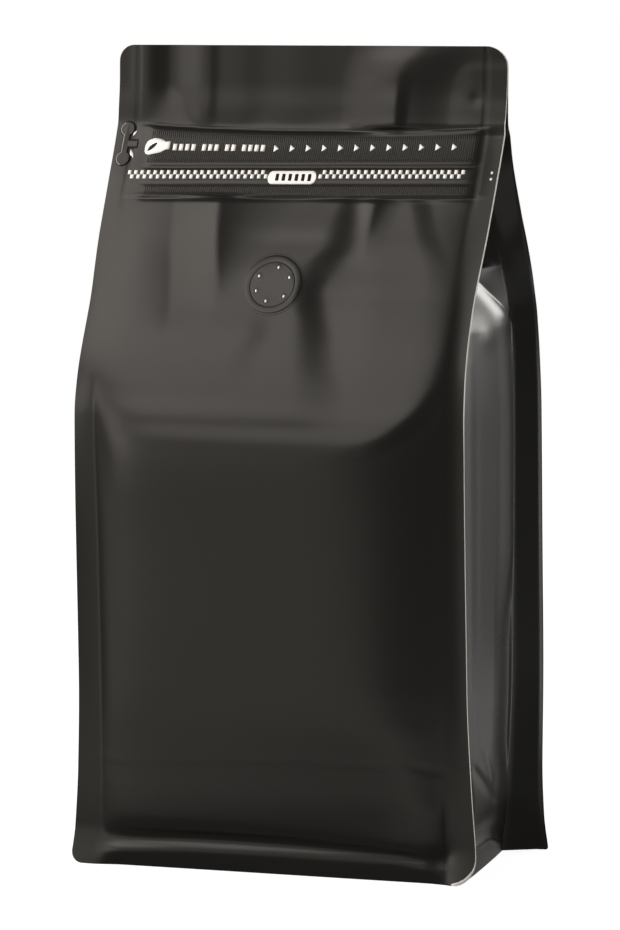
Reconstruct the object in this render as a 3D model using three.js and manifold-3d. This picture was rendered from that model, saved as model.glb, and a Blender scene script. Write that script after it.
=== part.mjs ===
// A flat-bottomed, side-gusseted coffee bag, filled and shut. It has sealed fins up its four
// upright edges, a flat header above a zipped pocket, a one-way valve and a die-cut pull tab.
// Millimetres, +Z up. The front faces -Y. The origin is the middle of the base, on the ground.
import * as THREE from "three";
import { mergeVertices } from "three/addons/utils/BufferGeometryUtils.js";
import Module from "manifold-3d";

const wasm = await Module();
wasm.setup();

// ---- driving dimensions --------------------------------------------------------------------
const HEIGHT = 257; // standing height of a pouch cut 265 long, less its lean
const BODY_DEPTH = 78; // front fin edge to rear fin edge at mid height
const HEADER_THICKNESS = 2.4; // webs, folded gussets and zip, pressed together
const SEAM_X = 57.3; // half the width between the upright seams
const FIN_THICKNESS = 1; // the two webs of a sealed edge, kept thick enough to collide
const CORNER_RADIUS = 7; // rounded corners of the front and rear webs
const PANEL_ROUNDNESS = 5; // power of the bulge: flat in the middle, rolling off at the seams
const SHOULDER_Z = 142; // where the front stops standing and starts to lean back
const HEADER_Z = 236; // where front and rear meet
const GABLE_LOW_Z = 168; // the gusset's gable fold starts here at the seams
const GABLE_TOP_Z = 185; // and meets the inward centre fold here
const SIDE_ARCH = 4; // how far the side's lower edge lifts between the corners
const SIDE_ARCH_FADE_Z = 30;
const POCKET_LOW_Z = 210; // lower crease of the zipped pocket
const POCKET_TOP_Z = 230.5; // upper crease
const POCKET_HALF_WIDTH = 54;
const POCKET_RELIEF = 0.6;

const VALVE = { x: -2.3, z: 183.8, radius: 9.8, holeCircle: 5.7, holeRadius: 0.45, holes: 6 };
const VALVE_SEAT_DEPTH = 1.8;
const TAB = { x: -61, topZ: 230.8, lowZ: 221.2, lobeRadius: 2.4, neckHalfWidth: 1.1, stripLength: 4 };
const TAB_THICKNESS = 0.8;
const GAP = 0.3; // clearance round a piece that is let into the film

const PANEL_STEPS = 18; // columns across the front or rear panel
const GUSSET_STEPS = 10; // columns across a gusset
const CORNER_STEPS = 4; // rows round a corner

// ---- profiles up the bag -------------------------------------------------------------------
// Smooth monotone curve through [z, value] pairs (Fritsch-Carlson tangents).
function profile(points) {
  const slope = points.slice(1).map((p, i) => (p[1] - points[i][1]) / (p[0] - points[i][0]));
  const tangent = points.map((_, i) => {
    if (i === 0) return slope[0];
    if (i === slope.length) return slope[i - 1];
    const [a, b] = [slope[i - 1], slope[i]];
    return a * b <= 0 ? 0 : (2 * a * b) / (a + b);
  });
  return (z) => {
    let i = points.findIndex((p) => z <= p[0]) - 1;
    if (i === -2) return points[points.length - 1][1];
    if (i < 0) return points[0][1];
    const span = points[i + 1][0] - points[i][0];
    const t = (z - points[i][0]) / span;
    const [t2, t3] = [t * t, t * t * t];
    return (
      points[i][1] * (2 * t3 - 3 * t2 + 1) +
      tangent[i] * span * (t3 - 2 * t2 + t) +
      points[i + 1][1] * (3 * t2 - 2 * t3) +
      tangent[i + 1] * span * (t3 - t2)
    );
  };
}

const halfBody = BODY_DEPTH / 2;
const halfHeader = HEADER_THICKNESS / 2;

// The fin edges, seen from the front (half width) and from the side (front and rear Y).
const finX = profile([
  [0, 67.4],
  [12, 66.6],
  [30, 65.4],
  [60, 64.4],
  [SHOULDER_Z, 64.2],
  [176, 63.4],
  [200, 64.4],
  [HEIGHT, 65.2],
]);
const frontFinY = profile([
  [0, 1.5 - halfBody],
  [12, 4 - halfBody],
  [60, 2 - halfBody],
  [SHOULDER_Z, -1 - halfBody],
  [153, 0.5 - halfBody],
  [182, -26.7],
  [214, -10.6],
  [HEADER_Z, -halfHeader],
]);
const rearFinY = profile([
  [0, halfBody - 2],
  [12, halfBody - 4.5],
  [60, halfBody + 0.8],
  [100, halfBody - 0.4],
  [160, halfBody - 2.5],
  [172, halfBody - 4],
  [182, 31],
  [206, 14.5],
  [224, 4.4],
  [HEADER_Z, halfHeader],
]);
// How far the seams stand behind the fin edges, and how far the panels bulge past the seams.
const seamSetback = profile([
  [0, 0],
  [20, 2],
  [60, 3],
  [SHOULDER_Z, 3],
  [205, 0],
]);
const panelBulge = profile([
  [0, 0],
  [7, -0.8],
  [22, 7],
  [40, 9],
  [80, 9.5],
  [SHOULDER_Z, 8.5],
  [170, 5.5],
  [190, 3],
  [206, 1],
  [HEADER_Z, 0],
]);
// The gusset: outward crown on the body, then how deep its centre folds in above the gable.
const gussetCrown = profile([
  [0, 2],
  [10, 0.5],
  [40, 2.5],
  [140, 2.5],
  [GABLE_LOW_Z, 0.5],
  [GABLE_TOP_Z, 0],
]);
const foldDepth = profile([
  [160, 0],
  [GABLE_LOW_Z, 1],
  [GABLE_TOP_Z, 9],
  [206, 22],
  [214, 20],
  [HEADER_Z, 0.3],
]);
// The fold closes on itself as front and rear meet: its mouth runs out to the fin edge.
const mouthShift = profile([
  [206, 0],
  [HEADER_Z, 1],
]);

// A corner's inset from the fin edge, near the top and the bottom.
function cornerInset(z) {
  const toEdge = Math.min(z, HEIGHT - z);
  const drop = Math.max(0, CORNER_RADIUS - toEdge);
  return CORNER_RADIUS - Math.sqrt(CORNER_RADIUS ** 2 - drop ** 2);
}

function pocketRelief(x, z) {
  const inside = z > POCKET_LOW_Z && z < POCKET_TOP_Z && Math.abs(x) < POCKET_HALF_WIDTH;
  return inside ? POCKET_RELIEF : 0;
}

const panelShape = (x) => 1 - Math.abs(x / SEAM_X) ** PANEL_ROUNDNESS;

function frontY(x, z) {
  const seamY = frontFinY(z) + seamSetback(z);
  return seamY - panelBulge(z) * panelShape(x) - pocketRelief(x, z);
}

function rearY(x, z) {
  return rearFinY(z) - seamSetback(z) + panelBulge(z) * panelShape(x);
}

// X of the gusset at q, which runs from -1 at the front seam to 1 at the rear seam.
function gussetX(q, z, innerSeamX) {
  const gable = THREE.MathUtils.clamp((GABLE_TOP_Z - z) / (GABLE_TOP_Z - GABLE_LOW_Z), 0, 0.98);
  const folded = Math.min(1, (1 - Math.abs(q)) / (1 - gable));
  return innerSeamX + gussetCrown(z) * (1 - q * q) - foldDepth(z) * folded;
}

// ---- the bag's surface as rings of points --------------------------------------------------
// The right half of one ring's side: fin, gusset, fin, from front to rear.
function sidePoints(z) {
  const edgeX = finX(z) - cornerInset(z);
  const innerSeamX = THREE.MathUtils.lerp(SEAM_X, edgeX - 0.3, mouthShift(z));
  const [tipF, tipR] = [frontFinY(z), rearFinY(z)];
  const seamF = tipF + seamSetback(z) + FIN_THICKNESS;
  const seamR = tipR - seamSetback(z) - FIN_THICKNESS;
  const points = [
    [edgeX, tipF, z],
    [edgeX, tipF + FIN_THICKNESS, z],
  ];
  for (let i = 0; i <= GUSSET_STEPS; i++) {
    const q = (2 * i) / GUSSET_STEPS - 1;
    const lift = SIDE_ARCH * (1 - q * q) * Math.max(0, 1 - z / SIDE_ARCH_FADE_Z);
    const y = THREE.MathUtils.lerp(seamF, seamR, (q + 1) / 2);
    points.push([gussetX(q, z, innerSeamX), y, z + lift]);
  }
  points.push([edgeX, tipR - FIN_THICKNESS, z], [edgeX, tipR, z]);
  return points;
}

// Columns crowd towards the seams, where the panel rolls off.
function panelX(i) {
  const k = (2 * i) / PANEL_STEPS - 1;
  return (SEAM_X * (k + Math.sin((k * Math.PI) / 2))) / 2;
}

function ringAt(z) {
  const front = [];
  const rear = [];
  for (let i = 0; i <= PANEL_STEPS; i++) {
    const x = panelX(i);
    front.push([x, frontY(x, z), z]);
    rear.push([-x, rearY(-x, z), z]);
  }
  const right = sidePoints(z);
  const left = right.map(([x, y, h]) => [-x, y, h]).reverse();
  return [...front, ...right, ...rear, ...left];
}

// The flat face the bag rests on: the lowest ring drawn in from the fins and the side arches.
function footRing() {
  const [footX, round] = [SEAM_X - 4, 1];
  const seamF = frontFinY(0) + 4;
  const seamR = rearFinY(0) - 4;
  const arc = (cx, cy, from) =>
    [0, 1, 2, 3].map((k) => {
      const a = from + (k * Math.PI) / 6;
      return [cx + round * Math.cos(a), cy + round * Math.sin(a), 0];
    });
  const front = [];
  const rear = [];
  for (let i = 0; i <= PANEL_STEPS; i++) {
    const x = (panelX(i) * (footX - round)) / SEAM_X;
    front.push([x, seamF, 0]);
    rear.push([-x, seamR, 0]);
  }
  const right = [];
  const lowCorner = arc(footX - round, seamF + round, -Math.PI / 2);
  const highCorner = arc(footX - round, seamR - round, 0);
  right.push(lowCorner[1], lowCorner[2]);
  for (let i = 0; i <= GUSSET_STEPS; i++) {
    right.push([footX, THREE.MathUtils.lerp(seamF + round, seamR - round, i / GUSSET_STEPS), 0]);
  }
  right.push(highCorner[1], highCorner[2]);
  const left = right.map(([x, y]) => [-x, y, 0]).reverse();
  return [...front, ...right, ...rear, ...left];
}

// Heights of the rings: close together round the corners, the pocket and the folds.
function ringHeights() {
  const body = [13, 20, 29, 40, 58, 78, 100, 122, 134, SHOULDER_Z, 148, 154, 161];
  const folds = [GABLE_LOW_Z, 174, 180, GABLE_TOP_Z, 191, 198, 206, 216, 223, 229, HEADER_Z, 243];
  const heights = [...body, ...folds];
  for (const crease of [POCKET_LOW_Z, POCKET_TOP_Z]) heights.push(crease - 0.4, crease + 0.4);
  for (let i = 0; i <= CORNER_STEPS; i++) {
    const drop = CORNER_RADIUS * (1 - Math.sin((i * Math.PI) / 2 / CORNER_STEPS));
    heights.push(drop, HEIGHT - drop);
  }
  return heights.sort((a, b) => a - b);
}

function bagSolid() {
  const rings = [footRing(), ...ringHeights().map(ringAt)];
  const count = rings[0].length;
  const positions = rings.flat(2);
  const triangles = [];
  for (let r = 0; r + 1 < rings.length; r++) {
    for (let i = 0; i < count; i++) {
      const j = (i + 1) % count;
      const [a, b] = [r * count + i, r * count + j];
      triangles.push(a, b, b + count, a, b + count, a + count);
    }
  }
  const cap = (ring, first, flip) => {
    const outline = ring.map(([x, y]) => new THREE.Vector2(x, y));
    for (const [a, b, c] of THREE.ShapeUtils.triangulateShape(outline, [])) {
      triangles.push(...(flip ? [c, b, a] : [a, b, c]).map((k) => first + k));
    }
  };
  cap(rings[0], 0, true);
  cap(rings[rings.length - 1], (rings.length - 1) * count, false);
  const geometry = new THREE.BufferGeometry();
  geometry.setAttribute("position", new THREE.Float32BufferAttribute(positions, 3));
  geometry.setIndex(triangles);
  return geometry;
}

// ---- manifold-3d helpers -------------------------------------------------------------------
function toManifold(geometry, matrix) {
  const placed = geometry.clone();
  if (matrix) placed.applyMatrix4(matrix);
  placed.deleteAttribute("normal");
  placed.deleteAttribute("uv");
  const merged = mergeVertices(placed, 1e-4);
  return new wasm.Manifold(
    new wasm.Mesh({
      numProp: 3,
      vertProperties: new Float32Array(merged.attributes.position.array),
      triVerts: new Uint32Array(merged.index.array),
    }),
  );
}

function toGeometry(solid) {
  const mesh = solid.getMesh();
  const geometry = new THREE.BufferGeometry();
  geometry.setAttribute("position", new THREE.BufferAttribute(mesh.vertProperties, 3));
  geometry.setIndex(new THREE.BufferAttribute(mesh.triVerts, 1));
  geometry.computeVertexNormals();
  return geometry;
}

// ---- pieces let into the front -------------------------------------------------------------
// Placement on the leaning front: the local +Z axis points out of the film and +X to the right.
function placeOnFront(x, z, y) {
  const step = 2;
  const lean = (frontFinY(z + step) - frontFinY(z - step)) / (2 * step);
  const out = new THREE.Vector3(0, -1, lean).normalize();
  const right = new THREE.Vector3(1, 0, 0);
  const up = new THREE.Vector3().crossVectors(out, right);
  return new THREE.Matrix4().makeBasis(right, up, out).setPosition(x, y, z);
}

// A turned disc on the local Z axis, from [radius, height] pairs that start and end on it.
function turned(pairs, segments) {
  const outline = pairs.map(([r, h]) => new THREE.Vector2(r, h));
  return new THREE.LatheGeometry(outline, segments).rotateX(Math.PI / 2);
}

function valveDisc() {
  const r = VALVE.radius;
  const floor = GAP - VALVE_SEAT_DEPTH;
  const disc = turned(
    [
      [0, floor],
      [r, floor],
      [r, 0.1],
      [r - 0.5, 0.7],
      [r - 1.4, 0.7],
      [r - 2, 0.3],
      [r - 2.6, 0.55],
      [r - 3.2, 0.3],
      [0, 0.3],
    ],
    36,
  );
  let solid = toManifold(disc);
  for (let i = 0; i < VALVE.holes; i++) {
    const a = ((i + 0.4) * 2 * Math.PI) / VALVE.holes;
    const drill = new THREE.CylinderGeometry(VALVE.holeRadius, VALVE.holeRadius, 2, 8);
    drill.rotateX(Math.PI / 2);
    drill.translate(VALVE.holeCircle * Math.cos(a), VALVE.holeCircle * Math.sin(a), 0.8);
    solid = solid.subtract(toManifold(drill));
  }
  return toGeometry(solid);
}

function valveSeat() {
  const r = VALVE.radius + GAP;
  const seat = [
    [0, -VALVE_SEAT_DEPTH],
    [r, -VALVE_SEAT_DEPTH],
    [r, 4],
    [0, 4],
  ];
  return turned(seat, 36);
}

// The tab's outline: two round lobes joined by a neck, with the tear strip leaving to the right.
function tabOutline(grow) {
  const reach = (TAB.topZ - TAB.lowZ) / 2;
  const r = TAB.lobeRadius + grow;
  const neck = TAB.neckHalfWidth + grow;
  const open = Math.asin(neck / r);
  const strip = TAB.stripLength + grow;
  const shape = new THREE.Shape();
  shape.absarc(0, reach, r, open - Math.PI / 2, 1.5 * Math.PI - open, false);
  shape.absarc(0, -reach, r, open + Math.PI / 2, 2.5 * Math.PI - open, false);
  shape.lineTo(neck, -neck);
  shape.lineTo(strip, -neck);
  shape.lineTo(strip, neck);
  shape.lineTo(neck, neck);
  shape.closePath();
  return shape;
}

function tabPlate(grow, thickness) {
  const plate = new THREE.ExtrudeGeometry(tabOutline(grow), {
    depth: thickness,
    bevelEnabled: false,
    curveSegments: 14,
  });
  return plate.translate(0, 0, -thickness);
}

// ---- the finished group --------------------------------------------------------------------
const film = new THREE.MeshStandardMaterial({ color: 0x2b2825, roughness: 0.5, metalness: 0 });
const valveFilm = new THREE.MeshStandardMaterial({ color: 0x24211f, roughness: 0.45, metalness: 0 });

const valvePlace = placeOnFront(VALVE.x, VALVE.z, frontY(VALVE.x, VALVE.z));
const tabZ = (TAB.topZ + TAB.lowZ) / 2;
const tabPlace = placeOnFront(TAB.x, tabZ, frontFinY(tabZ));
const tabCutPlace = tabPlace.clone().multiply(new THREE.Matrix4().makeTranslation(0, 0, 2));

const bag = new THREE.Mesh(
  toGeometry(
    toManifold(bagSolid())
      .subtract(toManifold(valveSeat(), valvePlace))
      .subtract(toManifold(tabPlate(GAP, 5), tabCutPlace)),
  ),
  film,
);
bag.name = "bag";

const valve = new THREE.Mesh(valveDisc(), valveFilm);
valve.name = "valve";
valve.applyMatrix4(valvePlace);

const pullTab = new THREE.Mesh(tabPlate(0, TAB_THICKNESS), film);
pullTab.name = "pull_tab";
pullTab.applyMatrix4(tabPlace);

const coffeeBag = new THREE.Group();
coffeeBag.add(bag, valve, pullTab);
export default coffeeBag;
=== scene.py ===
"""Looks of a filled, shut, flat-bottomed coffee bag in matte black film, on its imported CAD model.

Shapes are worked out in millimetres with +Z up and the front facing -Y, as in the CAD source, and
turned into metres when a mesh is made. Nothing is random and nothing is read but the frame.
"""
import math

import bpy
import numpy as np
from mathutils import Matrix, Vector


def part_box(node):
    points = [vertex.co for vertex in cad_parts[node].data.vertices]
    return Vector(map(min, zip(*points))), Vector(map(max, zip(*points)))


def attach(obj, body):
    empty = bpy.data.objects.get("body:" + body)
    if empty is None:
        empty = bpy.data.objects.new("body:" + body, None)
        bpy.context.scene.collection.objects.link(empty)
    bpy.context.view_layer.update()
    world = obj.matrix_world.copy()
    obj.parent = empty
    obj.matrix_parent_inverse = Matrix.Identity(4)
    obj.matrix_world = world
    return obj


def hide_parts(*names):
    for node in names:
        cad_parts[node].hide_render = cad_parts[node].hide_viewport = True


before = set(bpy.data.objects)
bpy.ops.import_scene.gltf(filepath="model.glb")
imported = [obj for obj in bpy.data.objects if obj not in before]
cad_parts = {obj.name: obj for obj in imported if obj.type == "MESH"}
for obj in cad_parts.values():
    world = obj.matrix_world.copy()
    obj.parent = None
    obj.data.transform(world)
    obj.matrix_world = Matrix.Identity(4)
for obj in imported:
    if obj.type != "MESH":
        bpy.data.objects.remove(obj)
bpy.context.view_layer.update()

MM = 0.001
BAG_HIGH = np.array(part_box("bag")[1]) / MM
VALVE_LOW, VALVE_HIGH = (np.array(c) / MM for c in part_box("valve"))
TAB_LOW, TAB_HIGH = (np.array(c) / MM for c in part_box("pull_tab"))

# ---- form of the bag, in millimetres -------------------------------------------------------
HEIGHT = BAG_HIGH[2]
SEAM_X = 57.3  # half the panel between the side seams, where the fins begin
FILM = 0.2  # thickness of one web of film
SHOULDER_Z = 142  # where the filled body ends and the front starts to lean back
HEADER_Z = 236  # where the flat header begins
GABLE_LOW_Z = 171  # where the side webs start to fold in, as a triangle between the seams
GABLE_TOP_Z = 187.4  # the triangle's top, in the middle; over it they fold in as a V
# Corner radii by side (-1 left, 1 right): of the whole top, and of the front's foot.
TOP_RADIUS = {-1: 5, 1: 7}
FOOT_RADIUS = {-1: 4, 1: 8}
REAR_FOOT_RADIUS = {-1: 1, 1: 1}


def profile(points):
    """Smooth monotone curve through (z, value) pairs, as a function of an array."""
    knot, value = (np.array(c, float) for c in zip(*points))
    span = np.diff(knot)
    slope = np.diff(value) / span
    a, b = slope[:-1], slope[1:]
    both = np.where(a + b == 0, 1, a + b)
    middle = np.where(a * b > 0, 2 * a * b / both, 0)
    tangent = np.concatenate([slope[:1], middle, slope[-1:]])

    def at(z):
        z = np.clip(z, knot[0], knot[-1])
        i = np.clip(np.searchsorted(knot, z) - 1, 0, len(span) - 1)
        t = (z - knot[i]) / span[i]
        t2, t3 = t * t, t * t * t
        return (
            value[i] * (2 * t3 - 3 * t2 + 1)
            + tangent[i] * span[i] * (t3 - 2 * t2 + t)
            + value[i + 1] * (3 * t2 - 2 * t3)
            + tangent[i + 1] * span[i] * (t3 - t2)
        )

    return at


# Every profile below is a list of (height z, value), except where it says otherwise. They follow
# the CAD model's profiles. The header's bend, the gable's fold and the foot differ a little.
fin_x = profile(
    [(0, 67.4), (12, 66.6), (30, 65.4), (60, 64.4), (SHOULDER_Z, 64.2), (176, 63.4), (200, 64.4)]
    + [(HEIGHT, 65.2)]
)
front_fin_y = profile(
    [(0, -37.5), (12, -35), (60, -37), (SHOULDER_Z, -40), (153, -38.5), (182, -26.7), (214, -10.6)]
    + [(229.5, -2.9), (232.5, -1.75), (238, -1.15), (246, -0.45), (HEIGHT, -0.4)]
)
rear_fin_y = profile(
    [(0, 37), (12, 34.5), (60, 39.8), (100, 38.6), (160, 36.5), (172, 35), (182, 31), (206, 14.5)]
    + [(224, 4.4), (HEADER_Z, 1.2), (246, 0.45), (HEIGHT, 0.4)]
)
# How far each seam stands in from its fin's tip, towards the middle of the bag's depth: on the
# side webs at the front and rear, on the rear web, and on the front web by side, whose fins turn
# a little outwards at the upper left and on the right above the foot.
setback_side = profile([(0, 0), (20, 2), (60, 3), (SHOULDER_Z, 3), (205, 0)])
setback_side_rear = profile(
    [(0, 8), (20, 10.5), (60, 11.5), (SHOULDER_Z, 10.2), (160, 8.5), (GABLE_LOW_Z, 7), (185, 8.5)]
    + [(195, 6), (206, 3), (224, 1), (HEADER_Z, 0)]
)
setback_rear = profile([(0, 1), (20, 5), (60, 6), (SHOULDER_Z, 6), (205, 0)])
setback_right = profile(
    [(0, 1.4), (8, 1.1), (16, 0.5), (28, -0.6), (60, -1.3), (SHOULDER_Z, -1.3), (205, 0)]
)
setback_left = profile(
    [(0, -0.4), (20, -0.2), (45, 0.6), (70, 1.1), (100, 1), (125, 0), (140, -0.8), (155, -1.5)]
    + [(175, -1.6), (200, -1.4), (225, 0)]
)
# How far the middle of the front and of the rear stands out from their seams.
panel_bulge = profile(
    [(0, 0), (10.3, 0), (12.5, 1.4), (15, 3.9), (17, 4.6), (20, 4.8), (30, 5.1), (40, 5.9), (50, 7)]
    + [(60, 7.8), (80, 8.3), (118, 8.2), (126, 7.9), (134, 7), (SHOULDER_Z, 4.6), (150, 2.3)]
    + [(158, 1.1), (166, 0.8), (206, 0.7), (HEADER_Z, 0)]
)
rear_bulge = profile(
    [(0, 0), (9, 0), (12, 3), (17, 7.5), (24, 10.5), (40, 12), (80, 12.5), (SHOULDER_Z, 11)]
    + [(170, 7), (190, 3.5), (206, 1), (HEADER_Z, 0)]
)
# The front's sealed foot: how far its strip stands out, up to a raised lip over which the front
# is tucked in. skirt and panel_bulge are drawn with the lip at LIP_DRAWN_Z and the top of the
# tuck at TUCK_DRAWN_Z; lip_z and tuck_z, by x, say where the two really are.
LIP_DRAWN_Z = 8
TUCK_DRAWN_Z = 17
skirt = profile(
    [(0, -1.5), (7.3, 1.35), (7.8, 1.5), (8.2, 1.44), (9.4, 0.95), (10.6, 0.42), (12, 0)]
)
lip_z = profile(
    [(-60, 4.2), (-50, 5), (-38, 5.8), (-24, 6.4), (4, 6.6), (22, 6.4), (38, 6.4), (48, 5.5)]
    + [(57, 4)]
)
tuck_z = profile([(-58, 15.8), (-20, 16), (12, 15), (26, 13.8), (40, 12.4), (56, 11)])
# The side webs: how far they crown outwards, and the crown's share from -1 at the front seam to 1
# at the rear seam; a bead down the rear seam; the foot's outward flare; how deep they fold in at
# the gable; and the share by which their mouth has moved out to the fins' edges.
gusset_crown = profile(
    [(0, 0.5), (12, 1.2), (40, 2.5), (140, 2.5), (GABLE_LOW_Z, 1), (GABLE_TOP_Z, 0)]
)
gusset_section = profile([(-1, 0), (-0.75, 0.45), (-0.4, 0.95), (0, 1), (0.5, 0.82), (1, 0.3)])
rear_bead = profile([(20, 0), (30, 0.15), (100, 0.2), (125, 0.35), (168, 0.35), (171.5, 0)])
gusset_flare = profile([(0, 1), (5, 0.75), (12, 0.2), (18, 0)])
fold_depth = profile(
    [(160, 0), (168.5, 0.1), (GABLE_LOW_Z, 0.35), (179.2, 2.7), (GABLE_TOP_Z, 5.8), (190, 9.6)]
    + [(194, 14), (200, 18), (208, 20), (214, 19), (HEADER_Z, 0.3)]
)
mouth_shift = profile([(206, 0), (HEADER_Z, 1)])


def smooth(low, high, v):
    """0 below low, 1 above high, eased between; low above high turns it round."""
    t = np.clip((v - low) / (high - low), 0, 1)
    return t * t * (3 - 2 * t)


def edge_x(z, side, foot_radius):
    """Half width to the trimmed fin edge on one side, with its rounded corners."""
    inset = np.zeros_like(z)
    for radius, to_edge in ((TOP_RADIUS[side], HEIGHT - z), (foot_radius[side], z)):
        drop = np.clip(radius - to_edge, 0, radius)
        inset = inset + radius - np.sqrt(radius**2 - drop**2)
    return fin_x(z) - inset


# ---- relief of the film --------------------------------------------------------------------
def bell(distance, reach):
    """Section of a raised or pressed line: 1 in its middle, falling off over its reach."""
    return np.exp(-((distance / reach) ** 2))


def ridge(x, z, start, end, height, reach_left, reach_right=None):
    """A raised line from start to end, and how far it reaches to the left and right of its way."""
    reach_right = reach_left if reach_right is None else reach_right
    (x0, z0), (x1, z1) = start, end
    length = math.hypot(x1 - x0, z1 - z0)
    ux, uz = (x1 - x0) / length, (z1 - z0) / length
    along = (x - x0) * ux + (z - z0) * uz
    across = (x - x0) * uz - (z - z0) * ux
    reach = np.where(across < 0, reach_left, reach_right)
    ends = smooth(-0.15, 0.15, along / length) * smooth(1.15, 0.85, along / length)
    return height * ends * bell(across, reach)


def blob(x, z, centre, reach, height):
    """A soft bump or dent."""
    return height * bell(x - centre[0], reach[0]) * bell(z - centre[1], reach[1])


# How a fold's slope is spread over its reach.
SOFT, EVEN, CRISP_LEFT, CRISP_RIGHT = range(4)


def step(x, z, stations, spread=SOFT):
    """A fold down the film, from (z, centre, reach, height of its right over its left) stations."""
    upward = sorted(stations)
    centre, reach, height = (profile([(s[0], s[k]) for s in upward]) for k in (1, 2, 3))
    t = np.clip(0.5 + (x - centre(z)) / (2 * reach(z)), 0, 1)
    soft = t * t * (3 - 2 * t)
    return height(z) * (soft, (t + soft) / 2, 1 - (1 - t) ** 2, t**2)[spread]


ZIP_RISE = 0.0124  # the pocket's lines climb a little to the right, by this for each millimetre


def along_zip(x, middle_z):
    """Height of a line along the zip that is at middle_z in the middle of the bag."""
    return middle_z + ZIP_RISE * x


def upper_crease(x):
    """Height of the pocket's upper crease."""
    return 230.1 + 1.6 * (x / 56) ** 2


def lower_crease(x):
    """Height of the pocket's lower crease."""
    return 210.1 + 0.011 * x


def zip_relief(x, z):
    """The pocket's two tracks, proud of the panel between an upper and a lower crease."""
    low, high = z - lower_crease(x), upper_crease(x) - z
    over_seam, over_hem = z - along_zip(x, 219.1), z - along_zip(x, 214.2)
    ends = smooth(-54, -50, x) * smooth(58.5, 55.5, x)
    across = smooth(-60, -50, x) * smooth(63, 55, x)
    pocket = 0.55 * smooth(-0.5, 0.4, low) * smooth(-0.3, 0.3, high) * across
    creases = bell(high, 0.45) + 0.7 * bell(low + 0.6, 0.6)
    track = 0.25 * smooth(0.4, 1.6, over_seam) * smooth(0.3, 1.8, high)
    pressed = 0.4 * creases + 0.35 * bell(over_seam, 0.4) + 0.2 * bell(over_hem, 0.35)
    return pocket + (track - pressed) * ends


# (spread, stations) of each fold, from left to right.
LEAN_FOLDS = (
    (
        CRISP_RIGHT,
        [(208, -47, 7, -0.5), (197, -46, 7, -0.9), (188, -44.5, 7, -1.3), (178, -43, 7, -0.9)]
        + [(166, -42, 7, 0)],
    ),
    (
        CRISP_RIGHT,
        [(208, -31, 6.5, 0.5), (197, -30, 6.5, 0.6), (188, -28.3, 6, 0.5), (178, -27, 6, 0.2)]
        + [(168, -27, 6, 0)],
    ),
    (
        CRISP_LEFT,
        [(208, -10.8, 13.5, -4.5), (197, -14.2, 9, -3.1), (188, -16.6, 5, -1.4)]
        + [(181, -17.3, 3, -0.3), (177, -17, 3, 0)],
    ),
    (SOFT, [(176, -4, 4, 0), (169, -4.5, 4, -0.5), (160, -8, 5, -0.3), (151, -9, 5, 0)]),
    (
        SOFT,
        [(208, 17.8, 3.4, -1.2), (197, 17.3, 6.4, -2.3), (189, 12.3, 8.5, -2.9)]
        + [(181, 9.8, 5.5, -2.2), (170, 13, 6.2, -1.8), (160, 15.2, 7.3, -1.6), (151, 18, 8.5, -1)]
        + [(140, 19, 9, 0)],
    ),
    (
        SOFT,
        [(208, 23.3, 2, 0.3), (196, 25, 4, 0.1), (188, 26, 7, 0.2), (170, 25, 10, 0.5)]
        + [(145, 25, 10, 0)],
    ),
    (CRISP_LEFT, [(208, 31, 4.6, -1.8), (200, 29.4, 4, -1), (196, 28.5, 3, -0.3), (191, 28, 2, 0)]),
    (SOFT, [(208, 41.5, 4, -0.9), (199, 45, 4, -0.6), (190, 50, 5, -0.3), (180, 52, 5, 0)]),
    (SOFT, [(208, 52, 6, -0.3), (190, 53, 6, -0.3), (165, 53, 6, -0.1), (150, 53, 6, 0)]),
)


def lean_relief(x, z):
    """Folds that fan down from the zip over the leaning panel."""
    total = sum(step(x, z, fold, spread) for spread, fold in LEAN_FOLDS)
    at_right_seam = sum(step(SEAM_X, z, fold, spread) for spread, fold in LEAN_FOLDS)
    share = np.clip((x + SEAM_X) / (2 * SEAM_X), 0, 1)
    return (total - at_right_seam * share) * smooth(211, 208.5, z)


def body_relief(x, z):
    """Faint creases over the lower body."""
    total = ridge(x, z, (-66, 33.2), (12, 37.3), 0.09, 0.8)
    total = total + ridge(x, z, (12, 37.3), (66, 35.8), 0.09, 0.8)
    total = total + ridge(x, z, (46, 37.2), (57, 35.2), -0.35, 0.9)
    total = total + blob(x, z, (54.5, 8.5), (3, 2.5), -0.9)
    return total


def front_relief(x, z):
    """How far the front stands proud of its smooth form, in millimetres."""
    return zip_relief(x, z) + lean_relief(x, z) + body_relief(x, z)


# The header's waves at its left half, by x.
header_wave = profile(
    [(-62, 0), (-56, 0.6), (-47.5, -1), (-34.6, 0.95), (-30.6, 0.5), (-24, 0.6), (-15, 0.25)]
    + [(-5, 0.45), (6, 0.15), (14, 0)]
)
# The header's fan at its right half: the film rises to a crest, falls again, and lifts a little
# before the seam. Near the crease a narrow fold runs under the crest. Each is a step's stations.
FAN_RISE = (
    [(229, 20, 9.5, 4.2), (238, 20, 9.5, 4), (246, 20, 9.5, 3.6), (252, 22, 10, 3.3)]
    + [(HEIGHT, 26, 12, 2.8)]
)
FAN_NOTCH = [(229, 31, 2, -1), (238, 31.2, 2.2, -1), (246, 31.5, 3, -0.4), (250, 32, 4, 0)]
FAN_FALL = (
    [(229, 39, 8, -1.6), (238, 38.5, 8, -1.8), (246, 38.5, 8.5, -2.1), (251, 42, 9, -2)]
    + [(253.5, 45.5, 9, -1.6), (HEIGHT, 48, 9, -0.4)]
)
FAN_LIFT = (
    [(234, 50.5, 3.5, 0), (240, 50.5, 3.5, 0.15), (245, 51, 3.5, 0.4), (249, 51, 3, 0.35)]
    + [(252.5, 52, 3, 0)]
)
HEADER_LEAN = 0.045  # the header leans back by this for each millimetre up
HEADER_LINE_X = 58.3  # a pressed line runs down each end of the header


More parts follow.
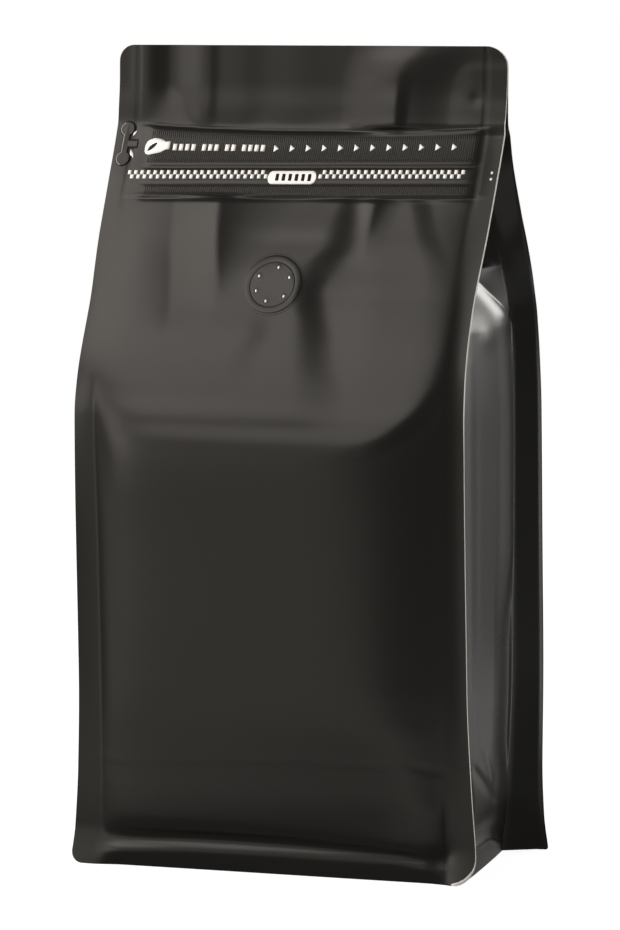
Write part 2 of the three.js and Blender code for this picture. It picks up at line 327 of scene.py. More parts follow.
def header_relief(x, z):
    """Waves of the flat header, which front and rear share."""
    starts = smooth(-50, -36, x)
    total = header_wave(x) * smooth(232 - 3 * starts, 246 - 9 * starts, z)
    total = total + step(x, z, FAN_RISE, EVEN) + step(x, z, FAN_NOTCH)
    total = total + step(x, z, FAN_FALL, EVEN) + step(x, z, FAN_LIFT)
    total = total + blob(x, z, (55, 241), (2, 2), -0.3) - HEADER_LEAN * np.clip(z - 230, 0, None)
    pressed = 0.22 * bell(np.abs(x) - HEADER_LINE_X, 0.5)
    return total * smooth(229, 233, z) - pressed * smooth(205, 212, z)


# The side webs' raised and sunken lines: start as (y, z), end, height, and reach to the left and
# to the right of the way.
GUSSET_RIDGES = (
    ((-12, 196), (22, 171.2), 0.8, 15, 4.3),  # along the gable's fold
    ((-16, 34), (9, 20), -0.35, 1.1, 2.4),  # wrinkles over the foot
    ((-19, 34), (-13, 16), -0.3, 1.3, 1.3),
    ((-8, 40), (4, 26), 0.2, 2, 2),
    ((-30, 8.2), (3, 8.3), 0.55, 1.6, 1),  # the foot's lip
    ((3, 8.3), (26, 3), 0.55, 1.6, 1),
    ((-13, 36), (-14, 150), -0.12, 2.5, 2.5),  # faint creases up the body
    ((4, 60), (6, 140), 0.07, 2, 2),
)


def gusset_relief(y, z):
    """Folds of a side web at its gable and its foot, as height out of it."""
    total = sum(ridge(y, z, *each) for each in GUSSET_RIDGES)
    total = total + blob(y, z, (0, 166.4), (8, 4), 0.36) + blob(y, z, (-2, 15), (12, 3), -0.6)
    rear_swell = smooth(7, 21, y) * smooth(60, 100, z) * smooth(176, 130, z)
    rear_hollow = 0.9 * smooth(-2, 20, y) * smooth(100, 75, z) * smooth(22, 40, z)
    return total + rear_swell - rear_hollow


# ---- surfaces ------------------------------------------------------------------------------
# A panel rolls off at a seam as a power of x: the higher, the tighter. Below the shoulder the
# right seam's changes with height.
ROLL_LEFT = 7
ROLL_OVER_SHOULDER = 20
roll_right = profile(
    [(0, 26), (20, 24), (28, 14), (36, 9), (44, 6.5), (56, 4.3), (75, 3.8), (HEIGHT, 3.8)]
)


def panel_shape(x, z):
    """Share of the bulge across a panel, which rolls off at the seams. The shoulder climbs to the
    right, where it ends in a sharp fold."""
    shoulder = 135 + 17 * np.clip(x / SEAM_X, 0, 1.1) ** 4
    fold = smooth(shoulder - 4.8, shoulder + 5.2, z)
    right = roll_right(z) * (1 - fold) + ROLL_OVER_SHOULDER * fold
    power = np.where(x < 0, ROLL_LEFT, right)
    return 1 - np.clip(np.abs(x) / SEAM_X, 0, 1) ** power


def fin_share(x, z):
    """How far out on a fin: 0 at the seam and within, 1 at the edge."""
    return np.clip((np.abs(x) - SEAM_X) / (fin_x(z) - SEAM_X), 0, None)


def drawn_foot_z(x, z):
    """Height at which the foot's profiles are drawn, for a height on the front."""
    lip, tuck = lip_z(x), tuck_z(x)
    below_lip = z * LIP_DRAWN_Z / lip
    in_tuck = LIP_DRAWN_Z + (z - lip) * (TUCK_DRAWN_Z - LIP_DRAWN_Z) / (tuck - lip)
    over_tuck = z + (TUCK_DRAWN_Z - tuck) * smooth(40, TUCK_DRAWN_Z, z)
    return np.where(z < lip, below_lip, np.where(z < tuck, in_tuck, over_tuck))


def front_y(x, z):
    """Outer face of the front."""
    x, z = np.broadcast_arrays(np.asarray(x, float), np.asarray(z, float))
    rightward = np.clip(0.5 + x / (2 * SEAM_X), 0, 1)
    setback = setback_left(z) + (setback_right(z) - setback_left(z)) * rightward
    share = np.clip(fin_share(x, z), 0, 1)
    seam = front_fin_y(z) + setback * np.where(x < 0, 1 - share**1.6, (1 - share) ** 2.6)
    foot_z = drawn_foot_z(x, z)
    foot = skirt(foot_z) * smooth(60, 50, np.abs(x)) * (1 - 0.2 * smooth(-30, 30, x))
    recess = 1 - 0.25 * smooth(-40, 58, x) * smooth(60, 25, z)
    bulge = panel_bulge(foot_z) * panel_shape(x, z) * recess
    return seam - bulge - foot - front_relief(x, z) - header_relief(x, z)


def rear_y(x, z):
    """Outer face of the rear."""
    x, z = np.broadcast_arrays(np.asarray(x, float), np.asarray(z, float))
    seam = rear_fin_y(z) - setback_rear(z) * (1 - fin_share(x, z) ** 1.6)
    foot = skirt(z) * smooth(58, 51, np.abs(x))
    return seam + rear_bulge(z) * panel_shape(x, z) + foot - header_relief(x, z)


# ---- mesh making ---------------------------------------------------------------------------
def grid_normals(grid):
    """Unit normals of a grid of points, on the side it is seen from."""
    across = np.gradient(grid, axis=1)
    up = np.gradient(grid, axis=0)
    n = np.cross(across, up)
    return n / np.maximum(np.linalg.norm(n, axis=2, keepdims=True), 1e-9)


def make_object(name, points, faces, materials, face_material, flat):
    """An object from points in millimetres, with each face's material and whether it is flat."""
    mesh = bpy.data.meshes.new(name)
    mesh.from_pydata((np.asarray(points) * MM).tolist(), [], faces)
    for m in materials:
        mesh.materials.append(m)
    mesh.polygons.foreach_set("material_index", np.asarray(face_material, np.int32))
    mesh.polygons.foreach_set("use_smooth", ~np.asarray(flat, bool))
    mesh.validate()
    mesh.update()
    made = bpy.data.objects.new(name, mesh)
    bpy.context.scene.collection.objects.link(made)
    return made


def solid_sheet(grid, thickness):
    """A closed sheet: grid is its outer face, seen with columns rightward and rows upward.
    Returns its points, its faces and which faces are its rim."""
    rows, cols = grid.shape[:2]
    inner = grid - grid_normals(grid) * thickness
    inner[:, :, 2] = np.clip(inner[:, :, 2], grid[:, :, 2].min(), grid[:, :, 2].max())
    points = np.concatenate([grid.reshape(-1, 3), inner.reshape(-1, 3)])
    index = np.arange(rows * cols).reshape(rows, cols)
    a, b, c, d = index[:-1, :-1], index[:-1, 1:], index[1:, 1:], index[1:, :-1]
    outer_faces = np.stack([a, b, c, d], axis=-1).reshape(-1, 4)
    inner_faces = outer_faces[:, ::-1] + rows * cols
    rim = np.concatenate([index[0, :], index[1:, -1], index[-1, -2::-1], index[-2:0:-1, 0]])
    nxt = np.roll(rim, -1)
    rim_faces = np.stack([rim, rim + rows * cols, nxt + rows * cols, nxt], axis=-1)
    faces = np.concatenate([outer_faces, inner_faces, rim_faces])
    is_rim = np.zeros(len(faces), bool)
    is_rim[-len(rim_faces) :] = True
    return points, faces, is_rim


def sheets(name, grids, thickness, film, edge):
    """One object of one or more closed sheets."""
    points, faces, is_rim, count = [], [], [], 0
    for grid in grids:
        p, f, r = solid_sheet(grid, thickness)
        points.append(p)
        faces.append(f + count)
        is_rim.append(r)
        count += len(p)
    points, is_rim = np.concatenate(points), np.concatenate(is_rim)
    faces = np.concatenate(faces).tolist()
    return make_object(name, points, faces, [film, edge], is_rim.astype(int), is_rim)


def sheet(name, grid, thickness, film, edge):
    """One object of one closed sheet."""
    return sheets(name, [grid], thickness, film, edge)


def on_front(x, z, lift):
    """Points on the front, raised out of it by lift."""
    return np.stack([x, front_y(x, z) - lift, z], axis=-1)


def patch(stations, rows, lift):
    """Outer face of a printed shape, from its (x, low z, high z) at stations from left to right."""
    x, low, high = (np.array(c, float) for c in zip(*stations))
    t = np.linspace(0, 1, rows)[:, None]
    return on_front(np.broadcast_to(x, (rows, len(x))), low + (high - low) * t, lift)


# ---- materials -----------------------------------------------------------------------------
def new_material(name, colour, roughness, specular=0.5):
    """A plain material, with its node tree and its shader."""
    material = bpy.data.materials.new(name)
    material.use_nodes = True
    shader = material.node_tree.nodes["Principled BSDF"]
    shader.inputs["Base Color"].default_value = (*colour, 1)
    shader.inputs["Roughness"].default_value = roughness
    shader.inputs["Specular IOR Level"].default_value = specular
    return material, material.node_tree, shader


CLOUD_SCALE, GRAIN_SCALE = 22, 2600  # of the noises, to the metre
GLOSS_SPREAD = 0.03
GRAIN_DEPTH = 0.00005  # metres


def film_material(name, colour, roughness):
    """Soft-touch matte film: near black, with a faint unevenness in gloss and surface."""
    material, tree, shader = new_material(name, colour, roughness, 0.25)
    nodes, links = tree.nodes, tree.links
    place = nodes.new("ShaderNodeTexCoord")
    cloud = nodes.new("ShaderNodeTexNoise")
    cloud.inputs["Scale"].default_value = CLOUD_SCALE
    cloud.inputs["Detail"].default_value = 3
    links.new(place.outputs["Object"], cloud.inputs["Vector"])
    gloss = nodes.new("ShaderNodeMapRange")
    gloss.inputs["To Min"].default_value = roughness - GLOSS_SPREAD
    gloss.inputs["To Max"].default_value = roughness + GLOSS_SPREAD
    links.new(cloud.outputs["Fac"], gloss.inputs["Value"])
    links.new(gloss.outputs["Result"], shader.inputs["Roughness"])
    grain = nodes.new("ShaderNodeTexNoise")
    grain.inputs["Scale"].default_value = GRAIN_SCALE
    grain.inputs["Detail"].default_value = 2
    links.new(place.outputs["Object"], grain.inputs["Vector"])
    bump = nodes.new("ShaderNodeBump")
    bump.inputs["Strength"].default_value = 0.12
    bump.inputs["Distance"].default_value = GRAIN_DEPTH
    links.new(grain.outputs["Fac"], bump.inputs["Height"])
    links.new(bump.outputs["Normal"], shader.inputs["Normal"])
    return material


front_film = film_material("front_film", (0.0075, 0.0067, 0.0056), 0.33)
side_film = film_material("side_film", (0.007, 0.0068, 0.0058), 0.28)
# Near black: painted shade in the slit round the tab, and the dark ink of the print.
slit_shade_and_dark_ink = film_material("slit_shade_and_dark_ink", (0.003, 0.003, 0.003), 0.6)
cut_edge = new_material("cut_edge", (0.72, 0.71, 0.68), 0.45)[0]
white_ink = new_material("white_ink", (0.9, 0.89, 0.87), 0.5)[0]
# Painted highlight on the left of the tab's cut side.
tab_edge_highlight = new_material("tab_edge_highlight", (0.2, 0.19, 0.18), 0.45)[0]

# ---- webs ----------------------------------------------------------------------------------
FIN_COLUMNS = 9
PANEL_COLUMNS = 120
CORNER_FOOT, CORNER_TOP = 8, 7  # heights at the foot and the top where rows crowd for the corners
CORNER_ROWS = 9
EDGE_STRIP = 0.1  # width of the outermost strip of a web


def rows_between(low, high, pitch):
    """Evenly spaced values from low to high, about a pitch apart."""
    return np.linspace(low, high, max(2, round((high - low) / pitch) + 1))


def web_rows():
    """Heights of the front and rear webs' rows, crowded at the corners and the zip."""
    turn = np.linspace(0, np.pi / 2, CORNER_ROWS)
    foot = CORNER_FOOT * (1 - np.cos(turn))
    body = rows_between(CORNER_FOOT, 205, 1.3)
    zipped = rows_between(205, 234, 0.45)
    header = rows_between(234, HEIGHT - CORNER_TOP, 1.1)
    top = HEIGHT - CORNER_TOP * (1 - np.cos(turn[::-1]))
    return np.unique(np.round(np.concatenate([foot, body, zipped, header, top]), 4))


# Width of the pale inner layer that shows along the right fin's trimmed edge.
pale_width = profile(
    [(0, 1), (3, 0.9), (5.5, 0.4), (8, 0.11), (40, 0.12), (130, 0.12), (150, 0.28), (228, 0.28)]
    + [(HEADER_Z, 0.1)]
)


def pale_from(z, edge, radius):
    """Where the pale strip begins, keeping its width round the foot's corner."""
    width = pale_width(z)
    low = np.clip(radius - z, 0, radius)
    round_corner = fin_x(z) - radius + np.sqrt(np.clip((radius - width) ** 2 - low**2, 0, None))
    return np.minimum(edge - EDGE_STRIP, np.where(z < radius, round_corner, edge - width))


def web_grid(surface_y, z, foot_radius):
    """Points of a web, with its fins: columns run left to right as seen from the front, the first
    and the last a narrow strip along the trimmed edge."""
    share = np.arange(1, FIN_COLUMNS) / (FIN_COLUMNS - 1)
    left_edge, right_edge = (edge_x(z, side, foot_radius) for side in (-1, 1))
    pale = pale_from(z, right_edge, foot_radius[1])
    left = [-left_edge] + [-(SEAM_X + (left_edge - EDGE_STRIP - SEAM_X) * s) for s in share[::-1]]
    right = [SEAM_X + (pale - SEAM_X) * s for s in share] + [right_edge]
    k = np.linspace(-1, 1, PANEL_COLUMNS + 1)
    middle = [np.full_like(z, SEAM_X * (0.75 * t + 0.25 * math.sin(t * np.pi / 2))) for t in k]
    x = np.stack(left + middle + right, axis=1)
    zz = np.broadcast_to(z[:, None], x.shape)
    return np.stack([x, surface_y(x, zz), zz], axis=2)


web_z = web_rows()
front_grid = web_grid(front_y, web_z, FOOT_RADIUS)
rear_grid = web_grid(rear_y, web_z, REAR_FOOT_RADIUS)[:, ::-1]
front = sheet("front_web", front_grid, FILM, front_film, cut_edge)
rear = sheet("rear_web", rear_grid, FILM, front_film, cut_edge)
# The last face of each row of the front is the pale strip along its right edge.
strips = front_grid.shape[1] - 1
for row in range(len(web_z) - 1):
    front.data.polygons[row * strips + strips - 1].material_index = 1

SIDE_FIN_COLUMNS = 7  # over a side web's fin, with the one on the seam
SIDE_COLUMNS = 91
# (from, to, pitch) of the side webs' rows, which crowd at the foot and most at the gable.
SIDE_ROWS = ((0.3, 40, 0.8), (40, 150, 1.4), (150, 165, 0.8), (165, 198, 0.5), (198, 243, 0.8))


def foot_line(q):
    """How far the foot of a side web stands out, from q -1 at the front to 1 at the rear."""
    return 1 - 3.9 * q


def gusset_grid(side):
    """A side web from the front fin's edge round to the rear fin's edge."""
    z = np.unique(np.concatenate([rows_between(*part) for part in SIDE_ROWS]))
    front_edge, rear_edge = edge_x(z, side, FOOT_RADIUS), edge_x(z, side, REAR_FOOT_RADIUS)
    inner = SEAM_X + (rear_edge - 2 * FILM - SEAM_X) * mouth_shift(z)
    front_edge = np.maximum(front_edge, inner + EDGE_STRIP)
    rear_edge = np.maximum(rear_edge, inner + EDGE_STRIP)
    gap = np.maximum(setback_side(z), FILM)
    front_seam = front_y(inner * side, z) + 2 * FILM + gap
    rear_tip = rear_fin_y(z) - header_relief(rear_edge * side, z) - 2 * FILM
    rear_seam = rear_tip - setback_side_rear(z)
    rear_inner = inner + gusset_crown(z) * gusset_section(1) + gusset_flare(z) * foot_line(1)
    columns = []
    for s in np.linspace(1, 0, SIDE_FIN_COLUMNS)[:-1]:
        x = inner + (front_edge - inner) * s
        columns.append((x, front_y(x * side, z) + 2 * FILM + gap * (1 - s), z))
    gable = np.clip((GABLE_TOP_Z - z) / (GABLE_TOP_Z - GABLE_LOW_Z), 0, 0.98)
    for q in np.linspace(-1, 1, SIDE_COLUMNS):
        y = front_seam + (rear_seam - front_seam) * (q + 1) / 2
        folded = np.clip((1 - abs(q)) / (1 - gable), 0, 1)
        inside = smooth(-1, -0.9, q) * smooth(1, 0.9, q)
        x = inner + gusset_crown(z) * gusset_section(q) - fold_depth(z) * folded
        x = x + gusset_relief(y, z) * inside + gusset_flare(z) * foot_line(q) * smooth(-1, -0.85, q)
        x = x + rear_bead(z) * bell(q - 0.96, 0.03)
        columns.append((x, y, z))
    for s in np.linspace(0, 1, SIDE_FIN_COLUMNS)[1:]:
        x = rear_inner + (rear_edge - rear_inner) * s
        columns.append((x, rear_seam + (rear_tip - rear_seam) * s, z))
    x, y, zz = (np.stack(c, axis=1) for c in zip(*columns))
    grid = np.stack([x * side, y, zz], axis=2)
    return grid if side > 0 else grid[:, ::-1]


right_grid, left_grid = gusset_grid(1), gusset_grid(-1)
gussets = [
    sheet(name, grid, FILM, side_film, cut_edge)
    for name, grid in (("gusset_right", right_grid), ("gusset_left", left_grid))
]

JOIN_ROW = 8  # row of the side webs at which the base web's border meets them


def bottom_grid():
    """The base web, seen from below: flat on the ground and creased across, with a border that
    turns up to meet the front, the rear and the side webs inside the foot."""
    walls = slice(SIDE_FIN_COLUMNS, -SIDE_FIN_COLUMNS)
    right, left = right_grid[JOIN_ROW, walls], left_grid[JOIN_ROW, ::-1][walls]
    join_z = right[0, 2]
    u, v = np.meshgrid(np.linspace(-1, 1, 117), np.linspace(1, -1, 77))
    x = u * SEAM_X
    # The border's x depends on its y and the other way round: each pass brings both closer.
    for _ in range(3):
        front_wall, rear_wall = front_y(x, join_z) + FILM / 2, rear_y(x, join_z) - FILM / 2
        y = front_wall + (rear_wall - front_wall) * (v + 1) / 2
        right_wall = np.interp(y, right[:, 1], right[:, 0]) - FILM / 2
        left_wall = np.interp(y, left[:, 1], left[:, 0]) + FILM / 2
        x = left_wall + (right_wall - left_wall) * (u + 1) / 2
    border = np.maximum(np.abs(u), np.abs(v))
    off_ground, sag = 0.25, 0.7
    z = off_ground + (join_z - off_ground - sag) * border**22 + sag * smooth(0.75, 0.95, border)
    z = z + 1.2 * bell(y, 1.6) * smooth(1, 0.9, border)
    return np.stack([x, y, z], axis=2)


bottom = sheet("bottom_web", bottom_grid(), FILM, side_film, side_film)

# ---- valve ---------------------------------------------------------------------------------
VALVE_X, VALVE_Z = (VALVE_LOW[0] + VALVE_HIGH[0]) / 2, (VALVE_LOW[2] + VALVE_HIGH[2]) / 2
VALVE_R = (VALVE_HIGH[0] - VALVE_LOW[0]) / 2
PIN_CIRCLE = 5.7
PIN_ANGLES = (25, 80, 152, 203, 255, 318)
VALVE_COLUMNS = 180
LEAN = math.radians(23.5)  # of the front where the valve, the zip and the tab are

# Height of the valve's rings over the film, by the distance from its middle, for a valve of
# VALVE_DRAWN_R.
VALVE_DRAWN_R = 9.5
valve_height = profile(
    [(0, 0.2), (6.9, 0.2), (7.15, 0.1), (7.4, 0.2), (8.2, 0.24), (9, 0.2), (9.3, 0.06)]
    + [(10.4, 0.05)]
)


def valve_points(under):
    """Rings of points over the valve, from its middle outwards: raised rings and pricked holes."""
    middle, holed = np.linspace(0.4, 4.8, 9), np.linspace(5, 6.5, 13)
    ringed = np.linspace(6.7, 10.2, 29)
    radii = np.concatenate([middle, holed, ringed])
    angle = np.linspace(0, 2 * np.pi, VALVE_COLUMNS, endpoint=False)
    r, a = np.meshgrid(radii, angle, indexing="ij")
    across, up = r * np.cos(a), r * np.sin(a)
    height = valve_height(r * VALVE_DRAWN_R / VALVE_R)
    for degrees in PIN_ANGLES:
        pin = math.radians(degrees)
        away = np.hypot(across - PIN_CIRCLE * math.cos(pin), up - PIN_CIRCLE * math.sin(pin))
        height = height + 0.05 * bell(away - 0.75, 0.25) - 0.1 * smooth(0.6, 0.3, away)
    x, z = VALVE_X + across, VALVE_Z + up * math.cos(LEAN)
    return on_front(x, z, height / math.cos(LEAN) - under)


def valve_object():
    """The valve's domed plate as a closed mesh."""
    top, back = valve_points(0), valve_points(0.03)
    rows, cols = top.shape[:2]
    index = np.arange(rows * cols).reshape(rows, cols)
    nxt = np.roll(index, -1, axis=1)
    outer = np.stack([index[:-1], index[1:], nxt[1:], nxt[:-1]], axis=-1).reshape(-1, 4)
    faces = outer.tolist() + (outer[:, ::-1] + rows * cols).tolist()
    edge = np.stack([index[-1], index[-1] + rows * cols, nxt[-1] + rows * cols, nxt[-1]], axis=-1)
    faces += edge.tolist()
    faces += [index[0].tolist(), (index[0][::-1] + rows * cols).tolist()]
    points = np.concatenate([top.reshape(-1, 3), back.reshape(-1, 3)])
    return make_object("valve", points, faces, [front_film], [0] * len(faces), [False] * len(faces))


def valve_pins():
    """A small pale patch over each hole."""
    grids = []
    for degrees in PIN_ANGLES:
        pin = math.radians(degrees)
        x0 = VALVE_X + PIN_CIRCLE * math.cos(pin)
        z0 = VALVE_Z + PIN_CIRCLE * math.sin(pin) * math.cos(LEAN)
        t = np.linspace(-1, 1, 9)
        half = 0.42 * np.sqrt(1 - t * t) + 0.02
        grids.append(patch([(x0 + 0.3 * k, z0 - h, z0 + h) for k, h in zip(t, half)], 3, 0.24))
    return grids


valve = valve_object()
valve_dots = sheets("valve_pins", valve_pins(), 0.1, white_ink, white_ink)

# ---- pull tab ------------------------------------------------------------------------------
LOBE_R = 2.4
TAB_X = TAB_LOW[0] + LOBE_R
TAB_Z = (TAB_HIGH[2] + TAB_LOW[2]) / 2
LOBE_REACH = (TAB_HIGH[2] - TAB_LOW[2]) / 2 - LOBE_R * math.cos(LEAN)
NECK = 1.1  # half width of the bar between the lobes and of the strip
STRIP = 4  # length of the strip, from the tab's middle line
LOBE_SIDES = 24


def tab_outline(grow):
    """Dog-bone with a strip to the right, anticlockwise as seen from the front, as (x, z)."""
    r, neck = LOBE_R + grow, NECK + grow
    opening = math.asin(neck / r)
    points = []
    for sign in (1, -1):
        centre = sign * LOBE_REACH
        start = opening - sign * math.pi / 2
        sweep = 2 * math.pi - 2 * opening
        for k in range(LOBE_SIDES + 1):
            a = start + sweep * k / LOBE_SIDES
            points.append((r * math.cos(a), centre + r * math.sin(a) * math.cos(LEAN)))
    points += [(neck, -neck), (STRIP, -neck), (STRIP, neck), (neck, neck)]
    return np.array([(TAB_X + px, TAB_Z + pz) for px, pz in points])


def outlined_plate(name, rings, materials, side_kinds):
    """A closed plate through rings of points, shut by a flat face at each end. side_kinds has the
    material's number for each face round its sides; the ends have the first material."""
    count = len(rings[0])
    faces = [tuple(range(count))]
    for k in range(len(rings) - 1):
        for i in range(count):
            j = (i + 1) % count
            faces.append((k * count + j, k * count + i, (k + 1) * count + i, (k + 1) * count + j))
    faces.append(tuple(reversed(range((len(rings) - 1) * count, len(rings) * count))))
    kinds = [0] + side_kinds * (len(rings) - 1) + [0]
    return make_object(name, np.concatenate(rings), faces, materials, kinds, [True] * len(faces))


def front_ring(outline, lift):
    """An outline's points, raised out of the front by lift."""
    return on_front(outline[:, 0], outline[:, 1], np.full(len(outline), lift))


# The tab's cut side is pale only at its left: a painted highlight where the light from the left
# catches the cut edge. Round the rest it takes the film.
tab_rim = tab_outline(0)
tab = outlined_plate(
    "pull_tab",
    [front_ring(tab_outline(-0.3), 0.42), front_ring(tab_rim, 0.3), front_ring(tab_rim, 0.08)],
    [front_film, tab_edge_highlight],
    [int(x < TAB_X - 0.35 * LOBE_R) for x, _ in tab_rim],
)
# A near-black ring laid round the tab on the uncut film: painted shade of the die-cut slit's gap.
slit_rim = tab_outline(0.36)
tab_slit_shade = outlined_plate(
    "tab_slit_shade",
    [front_ring(tab_outline(0.32), 0.06), front_ring(slit_rim, 0.03)],
    [slit_shade_and_dark_ink],
    [0] * len(slit_rim),
)


def crescent(centre_z, radius, width, from_degrees, to_degrees):
    """Sliver between an arc round one of the tab's lobes and the same arc pushed inwards."""
    t = np.linspace(0, 1, 13)
    angle = np.radians(from_degrees + (to_degrees - from_degrees) * t)
    r = np.stack([radius - width * np.sin(np.pi * t), np.full_like(t, radius)])
    x, z = TAB_X + r * np.cos(angle), centre_z + r * np.sin(angle) * math.cos(LEAN)
    return on_front(x, z, 0.12)


slivers = sheets(
    "tab_openings",
    [
        crescent(TAB_Z + LOBE_REACH, LOBE_R + 0.85, 0.75, -12, -52)[:, ::-1],
        crescent(TAB_Z - LOBE_REACH, LOBE_R + 1.1, 1.05, 56, 2)[:, ::-1],
    ],
    0.08,
    white_ink,
    white_ink,
)

# ---- print ---------------------------------------------------------------------------------
INK = 0.1  # how far the print stands proud, so that it never dips into the film
OVERPRINT = INK + 0.08  # the same for dark marks on white ones
CHECK = 1.135  # width of one check; each of the band's two rows is CHECK_HEIGHT high
CHECK_HEIGHT = 1.28
CHECKS_FROM, CHECKS_TO = -58.3, 54.2
CHECKS_Z = 217
PILL_FROM, PILL_TO = -10.45, 5.7
PILL_Z = 216
PILL_HALF_HEIGHT = 2


def bar(x, width, low, high, lift):
    """An upright block with its left side at x."""
    return patch([(x, low, high), (x + width, low, high)], 3, lift)


def checks():
    """Two rows of checks along the zip, with a gap for the plate in their middle."""
    grids = []
    for i in range(int((CHECKS_TO - CHECKS_FROM) / CHECK)):
        x = CHECKS_FROM + i * CHECK
        if PILL_FROM - CHECK < x < PILL_TO:
            continue
        low = along_zip(x, CHECKS_Z) - (CHECK_HEIGHT if i % 2 else 0)
        grids.append(bar(x, CHECK, low, low + CHECK_HEIGHT, INK))
    return grids


def pill():
    """The plate over the zip's middle, with round ends."""
    stations = []
    for x in np.linspace(PILL_FROM, PILL_TO, 41):
        inward = min(x - PILL_FROM, PILL_TO - x)
        half = PILL_HALF_HEIGHT * (1 - max(0, 1 - inward / 1.7) ** 2.2) ** 0.5 + 0.02
        middle = along_zip(x, PILL_Z)
        stations.append((x, middle - half, middle + half))
    return patch(stations, 6, INK)


def pill_bars():
    """Six plain upright bars across the plate."""
    return [bar(PILL_FROM + 2.6 + 2.15 * i, 1.05, 215, 217.1, OVERPRINT) for i in range(6)]


ARROWS = 12
ARROW_PITCH = 5.34
FIRST_ARROW_X = -9.4


def arrows():
    """A row of arrowheads that point to the right and climb a little faster than the zip."""
    grids = []
    for i in range(ARROWS):
        x = FIRST_ARROW_X + ARROW_PITCH * i
        z = 224.8 + 1.5 * ZIP_RISE * ARROW_PITCH * i
        grids.append(patch([(x - 0.8, z - 1.05, z + 1.05), (x + 0.8, z - 0.05, z + 0.05)], 3, INK))
    return grids


def dashes():
    """Groups of plain blocks, where such a bag has its opening hint."""
    low, high = 223.9, 225.9
    width, pitch, gap = 1.35, 2.1, 1.5
    grids = []
    x = -44.3
    for group in (4, 3, 2, 4):
        for _ in range(group):
            grids.append(bar(x, width, low, high, INK))
            x += pitch
        x += gap
    return grids


def mitten():
    """A plain hand sign: cuff at the right, thumb and finger closed at the lower left."""
    stations = [(-54, 223.6, 225.4), (-53.4, 222.7, 226.6), (-52.4, 222.4, 227.2)]
    stations += [(-51, 222.7, 227.6), (-49.5, 223, 227.5), (-48.2, 223.3, 227.1)]
    stations += [(-47, 224, 226.5), (-46.4, 224.2, 226.6), (-45.5, 224.3, 226.7)]
    return patch(stations, 5, INK)


def thumb_gap():
    """The dark opening between the sign's thumb and palm."""
    stations = [(-53, 223.6, 223.8), (-52.4, 223.7, 225), (-51.5, 224.2, 225.7)]
    stations += [(-50.6, 225, 226.1), (-50, 225.8, 226.2)]
    return patch(stations, 3, OVERPRINT)


fin_marks = [bar(62.2, 0.7, z, z + 0.7, INK) for z in (217.8, 215.9)]
print_white = sheets(
    "print_white",
    [*checks(), *arrows(), *dashes(), mitten(), pill(), *fin_marks],
    INK + 0.1,
    white_ink,
    white_ink,
)
print_dark = sheets("print_dark", [*pill_bars(), thumb_gap()], 0.06, slit_shade_and_dark_ink, slit_shade_and_dark_ink)


RIB_PITCH = 0.7
RIB_HALF_WIDTH = 0.17
RIB_HEIGHT = 0.075


def ribs(x_from, x_to, low, high):
    """Fine upright ribs pressed into the film, from low(x) to high(x)."""
    section = np.array([0, RIB_HEIGHT, 0])
    t = np.linspace(0, 1, 6)[:, None]
    grids = []
    for x in np.arange(x_from, x_to, RIB_PITCH):
        across = np.array([x - RIB_HALF_WIDTH, x, x + RIB_HALF_WIDTH])
        z = low(across) + (high(across) - low(across)) * t
        grids.append(on_front(np.broadcast_to(across, z.shape), z, section))
    return grids


zip_ribs = sheets(
    "zip_ribs",
    ribs(-52, 56, lambda x: along_zip(x, 220.6), lambda x: upper_crease(x) - 1.6)
    + ribs(-51, 56, lambda x: lower_crease(x) + 0.4, lambda x: along_zip(x, 213.6)),
    0.04,
    front_film,
    front_film,
)

# ---- what each piece rides on and stands for -----------------------------------------------
for piece in (front, rear, *gussets, bottom, print_white, print_dark, zip_ribs):
    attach(piece, "root")
for piece in (front, rear, *gussets, bottom, zip_ribs):
    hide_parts("bag")
for piece in (valve, valve_dots):
    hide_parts("valve")
    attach(piece, "root")
for piece in (tab, tab_slit_shade, slivers):
    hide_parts("pull_tab")
    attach(piece, "root")

# ---- floor, lights and camera --------------------------------------------------------------
CENTRE = Vector((-0.000465, 0, 0.124853))  # what the camera and the softboxes look at
WARM, NEUTRAL = (1, 0.94, 0.87), (1, 0.99, 0.95)  # tints of the lamps


def towards(azimuth, elevation):
    """Unit direction; azimuth 0 points at -Y, the front, and turns towards +X."""
    a, e = math.radians(azimuth), math.radians(elevation)
    return Vector((math.sin(a) * math.cos(e), -math.cos(a) * math.cos(e), math.sin(e)))


def softbox(name, azimuth, elevation, distance, size, watts, tint=WARM):
    """An area lamp that faces the middle of the bag and isn't seen itself."""
    lamp = bpy.data.lights.new(name, "AREA")
    lamp.shape = "RECTANGLE"
    lamp.size, lamp.size_y = size
    lamp.energy = watts
    lamp.color = tint
    made = bpy.data.objects.new(name, lamp)
    out = towards(azimuth, elevation)
    made.location = CENTRE + out * distance
    made.rotation_mode = "QUATERNION"
    made.rotation_quaternion = out.to_track_quat("Z", "Y")
    made.visible_camera = False
    bpy.context.scene.collection.objects.link(made)
    return made


def floor_card(name, azimuth, near, far, left, right, watts, tint=WARM):
    """A glowing card lying on the floor, which fills the reflections that look down.
    Left and right are its sides' distances from a line through the middle along the azimuth."""
    card = softbox(name, azimuth, 90, 1, (right - left, far - near), watts, tint)
    out = towards(azimuth, 0)
    across = towards(azimuth + 90, 0)
    card.location = out * ((near + far) / 2) + across * ((left + right) / 2) + Vector((0, 0, 0.004))
    card.rotation_mode = "XYZ"
    card.rotation_euler = (math.pi, 0, math.radians(azimuth))
    return card


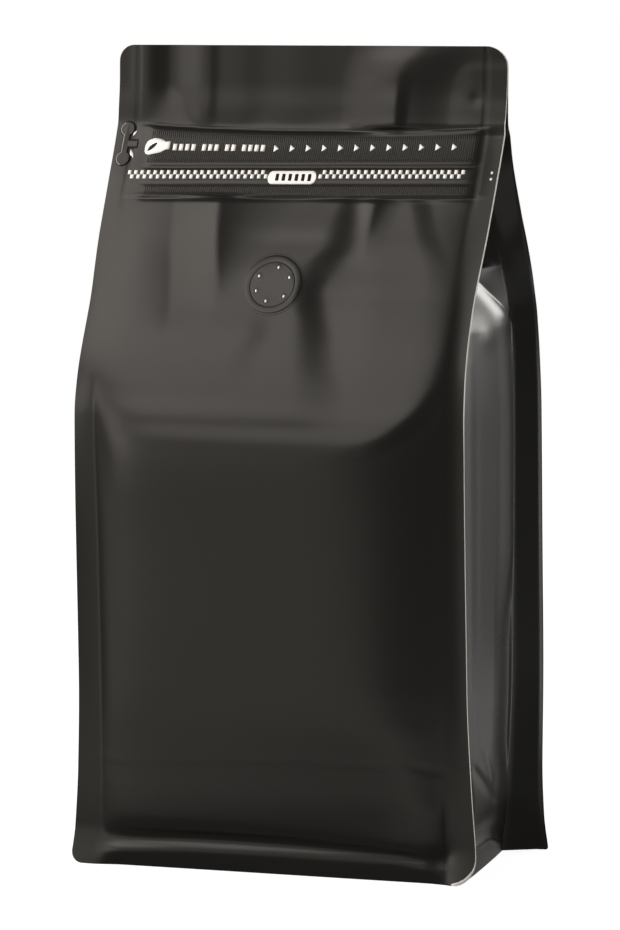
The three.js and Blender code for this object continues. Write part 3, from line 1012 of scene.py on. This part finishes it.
softbox("key", -27, 36, 1.4, (0.7, 0.75), 7.2)
softbox("key_left", -58, 38, 1.4, (0.7, 0.75), 8)
softbox("front_fill", -29, 4, 1.5, (0.9, 0.5), 1.9)
softbox("front_right", 62, 4, 1.5, (1.1, 0.7), 0.25)
softbox("left_front", -52, 6, 1.4, (0.55, 0.5), 3.4)
softbox("left_fill", -95, 20, 1.5, (0.6, 0.7), 5)
softbox("right_side", 146, 3, 1.5, (0.17, 0.8), 0.84, NEUTRAL)
softbox("behind", 147, 11.5, 1.5, (0.35, 0.35), 6, NEUTRAL)
softbox("right_low", 58, 4, 1.5, (0.9, 0.4), 1.1)
softbox("rear_left", -150, 25, 1.6, (0.9, 0.7), 5)
floor_card("front_card", -6, 0.09, 0.9, -0.75, 0.045, 1.8)
floor_card("foot_card", 0, 0.06, 0.165, 0.03, 0.26, 0.06)
floor_card("rear_card", 146, 0.14, 0.45, -0.25, 0.25, 0.16, NEUTRAL)

FLOOR_REACH = 40
around = ((-1, -1), (1, -1), (1, 1), (-1, 1))
floor_corners = [(x * FLOOR_REACH, y * FLOOR_REACH, 0) for x, y in around]
floor_mesh = bpy.data.meshes.new("floor")
floor_mesh.from_pydata(floor_corners, [], [(0, 1, 2, 3)])
floor = bpy.data.objects.new("floor", floor_mesh)
floor.location.z = -0.0002  # just under the foot, so that the two never share a plane
bpy.context.scene.collection.objects.link(floor)
floor_material, _, floor_shader = new_material("floor_paper", (0.2, 0.2, 0.2), 0.9, 0)
floor_shader.inputs["Emission Color"].default_value = (1, 1, 1, 1)
floor_shader.inputs["Emission Strength"].default_value = 0.95
floor_mesh.materials.append(floor_material)
floor.visible_glossy = False
floor.visible_diffuse = False

world = bpy.data.worlds.new("studio")
bpy.context.scene.world = world
world.use_nodes = True
backdrop = world.node_tree.nodes["Background"]
backdrop.inputs["Color"].default_value = (1, 0.97, 0.93, 1)
AMBIENT = 0.26  # the world's light on the bag
BACKDROP = 1.1  # the world as the camera sees it
rays = world.node_tree.nodes.new("ShaderNodeLightPath")
level = world.node_tree.nodes.new("ShaderNodeMapRange")
level.inputs["To Min"].default_value = AMBIENT
level.inputs["To Max"].default_value = BACKDROP
world.node_tree.links.new(rays.outputs["Is Camera Ray"], level.inputs["Value"])
world.node_tree.links.new(level.outputs["Result"], backdrop.inputs["Strength"])
bpy.context.scene.view_settings.view_transform = "Standard"

CAMERA_AZIMUTH, CAMERA_ELEVATION = 20.27, 5.383
CAMERA_DISTANCE = 1.6005
camera_way = towards(CAMERA_AZIMUTH, CAMERA_ELEVATION)
camera = bpy.data.objects.new("camera", bpy.data.cameras.new("camera"))
camera.data.lens = 196.05
camera.data.sensor_width = 36
camera.data.clip_end = 100
camera.location = CENTRE + camera_way * CAMERA_DISTANCE
camera.rotation_mode = "QUATERNION"
camera.rotation_quaternion = camera_way.to_track_quat("Z", "Y")
bpy.context.scene.collection.objects.link(camera)
bpy.context.scene.camera = camera

bpy.context.view_layer.update()
